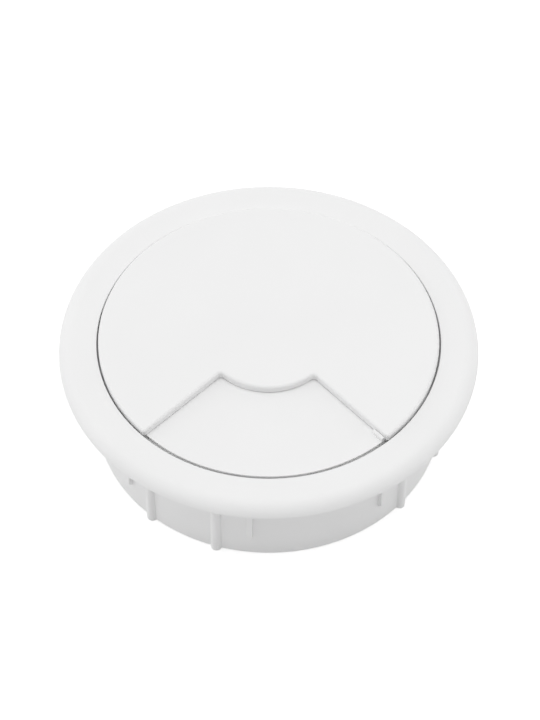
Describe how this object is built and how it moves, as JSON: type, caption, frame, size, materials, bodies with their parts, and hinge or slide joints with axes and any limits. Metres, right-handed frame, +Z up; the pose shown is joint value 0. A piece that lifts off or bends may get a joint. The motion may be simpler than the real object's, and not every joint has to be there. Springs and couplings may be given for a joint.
{
  "type": "cable grommet",
  "caption": "Round desk cable grommet: ribbed flanged liner, turning cover with a cable notch, and a swinging shutter that closes the notch.",
  "frame": {"origin": "on the grommet's axis, in the plane of the flange's underside, which is the desk's surface", "axes": "+Z up along the axis, out of the desk; -Y towards the cable notch in the cover"},
  "size_m": [0.0922, 0.0922, 0.0274],
  "materials": {
    "liner": "white moulded plastic, satin",
    "cover": "white moulded plastic, satin",
    "shutter": "white moulded plastic, satin"
  },
  "bodies": {
    "liner": {"liner": "liner"},
    "cover": {"cover": "cover"},
    "shutter": {"shutter": "shutter"}
  },
  "joints": [
    {"name": "cover_turn", "type": "hinge", "parent": "liner", "child": "cover", "pos_m": [0, 0, 0], "axis": [0, 0, 1], "continuous": true},
    {"name": "shutter_swing", "type": "hinge", "parent": "cover", "child": "shutter", "pos_m": [0, 0, 0], "axis": [0, 0, -1], "range_deg": [0, 86]}
  ]
}
